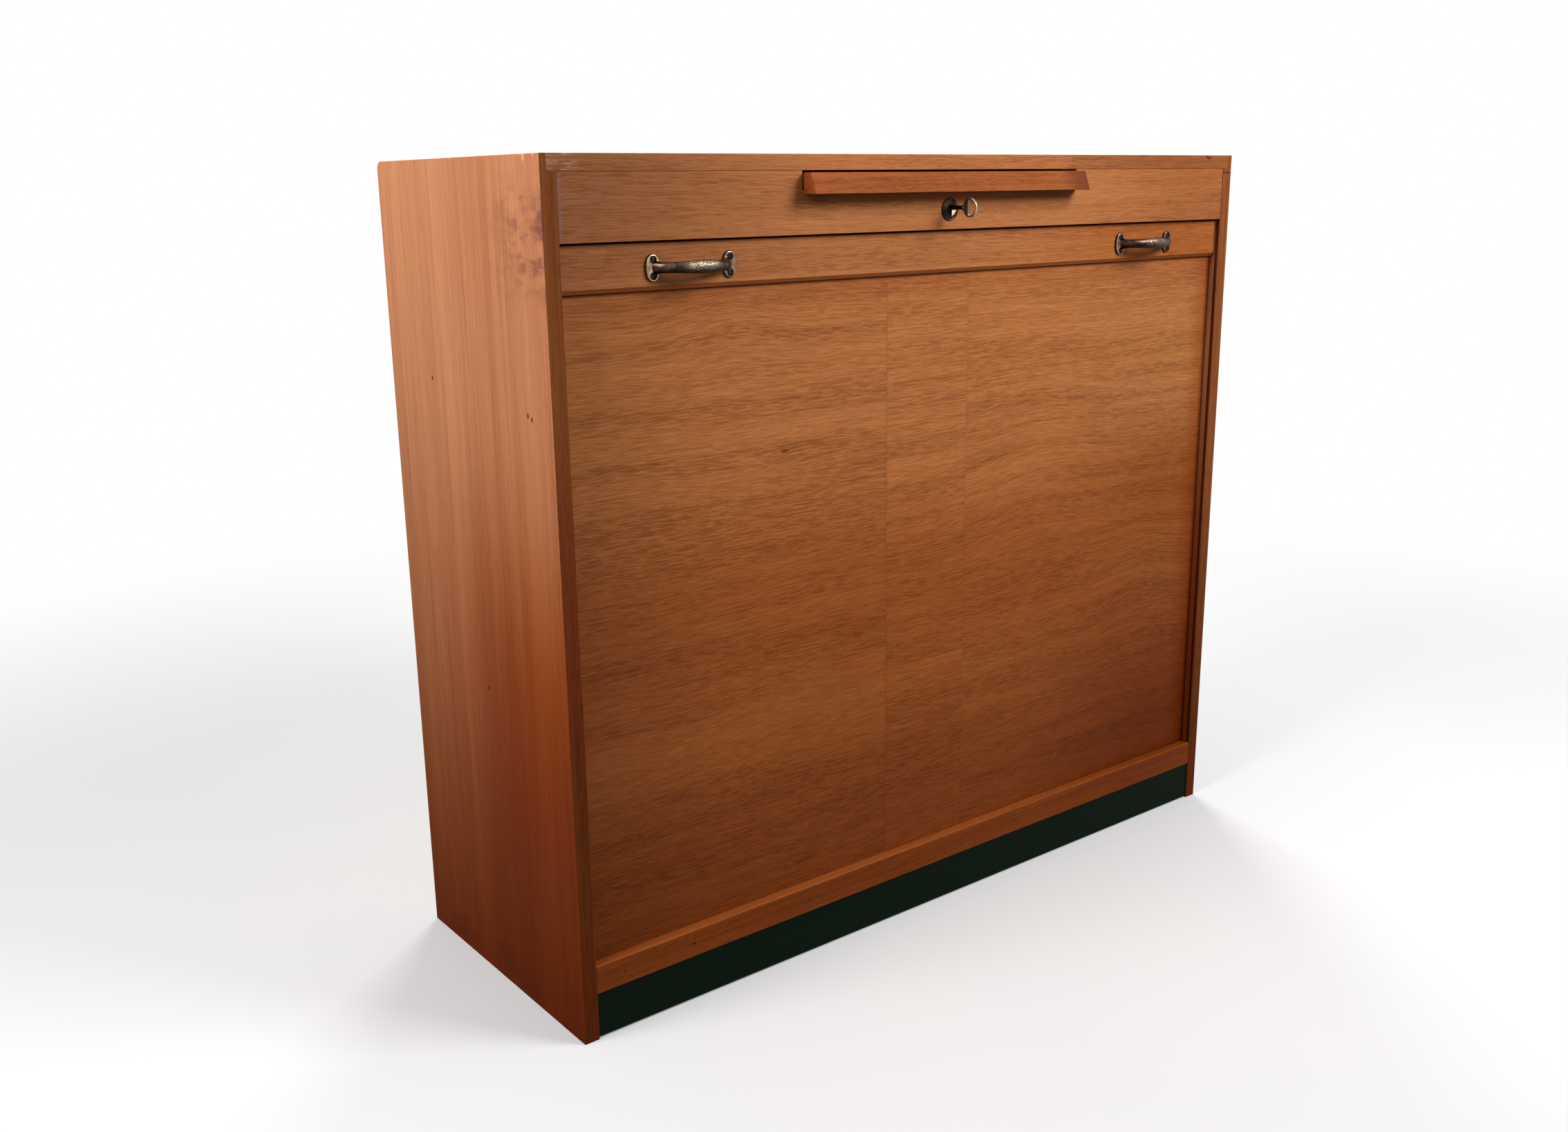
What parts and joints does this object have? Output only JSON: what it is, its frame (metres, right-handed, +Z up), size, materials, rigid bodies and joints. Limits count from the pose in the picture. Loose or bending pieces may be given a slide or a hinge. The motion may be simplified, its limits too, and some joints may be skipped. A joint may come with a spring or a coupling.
{
  "type": "tambour cabinet",
  "caption": "Low wooden office cabinet whose tambour front drops behind a sill, with a lock, bow handles, shelves and a pull-out writing slide.",
  "frame": {"origin": "on the floor, under the middle of the box that holds the cabinet and its key", "axes": "+Z up, +X along the width, the tambour front faces -Y"},
  "size_m": [1.2, 0.47, 1.055],
  "materials": {
    "side_veneer": "clear lacquered veneer, vertical grain",
    "side_edge": "worn lacquered solid wood edge",
    "oak_veneer": "clear lacquered oak, horizontal grain",
    "tambour_oak": "clear lacquered oak slats, horizontal grain",
    "sill_oak": "clear lacquered solid oak",
    "plinth_paint": "dark green paint, satin",
    "inner_wood": "unfinished softwood",
    "plywood": "plain plywood",
    "canvas": "plain linen canvas",
    "nickel": "tarnished nickel plating",
    "steel": "plain steel",
    "brass": "dull brass"
  },
  "bodies": {
    "carcass": {"left_side": "side_veneer", "left_lipping": "side_edge", "right_side": "side_veneer", "right_lipping": "side_edge", "top_panel": "side_veneer", "top_lipping": "oak_veneer", "fascia_rail": "oak_veneer", "dust_panel": "plywood", "back_rail": "inner_wood", "floor_panel": "plywood", "false_back": "plywood", "back_panel": "plywood", "sill_rail": "sill_oak", "front_plinth": "plinth_paint", "back_plinth": "inner_wood", "floor_cleats": "inner_wood", "dust_cleats": "inner_wood", "corner_blocks": "inner_wood", "back_screws": "steel", "lower_shelf": "side_veneer", "upper_shelf": "side_veneer", "shelf_pins": "steel", "left_runner": "inner_wood", "right_runner": "inner_wood", "runner_screws": "steel", "lock_screws": "steel", "lock_case": "steel", "escutcheon": "nickel"},
    "tambour": {"lead_rail": "oak_veneer", "tambour_slats": "tambour_oak", "tambour_canvas": "canvas", "left_handle": "nickel", "right_handle": "nickel", "handle_screws": "steel", "strike_plate": "brass", "strike_screws": "steel"},
    "slide": {"slide_board": "side_veneer", "slide_pull": "sill_oak", "slide_stop": "inner_wood", "pull_screws": "steel"},
    "key": {"key": "nickel"},
    "bolt": {"lock_bolt": "brass"}
  },
  "joints": [
    {"name": "tambour_slide", "type": "slide", "parent": "carcass", "child": "tambour", "axis": [0, 0, -1], "range_m": [0, 0.8038], "deforming": ["tambour_slats", "tambour_canvas"]},
    {"name": "slide_pull_out", "type": "slide", "parent": "carcass", "child": "slide", "axis": [0, -1, 0], "range_m": [0, 0.2855]},
    {"name": "key_turn", "type": "hinge", "parent": "carcass", "child": "key", "pos_m": [0, -0.185, 0.988], "axis": [0, 1, 0], "range_deg": [0, 180]},
    {"name": "bolt_throw", "type": "slide", "parent": "carcass", "child": "bolt", "axis": [0, 0, -1], "range_m": [0, 0.014]}
  ],
  "couplings": [
    {"joint": "bolt_throw", "follows": "key_turn", "m_per_rad": 0.0044563}
  ]
}
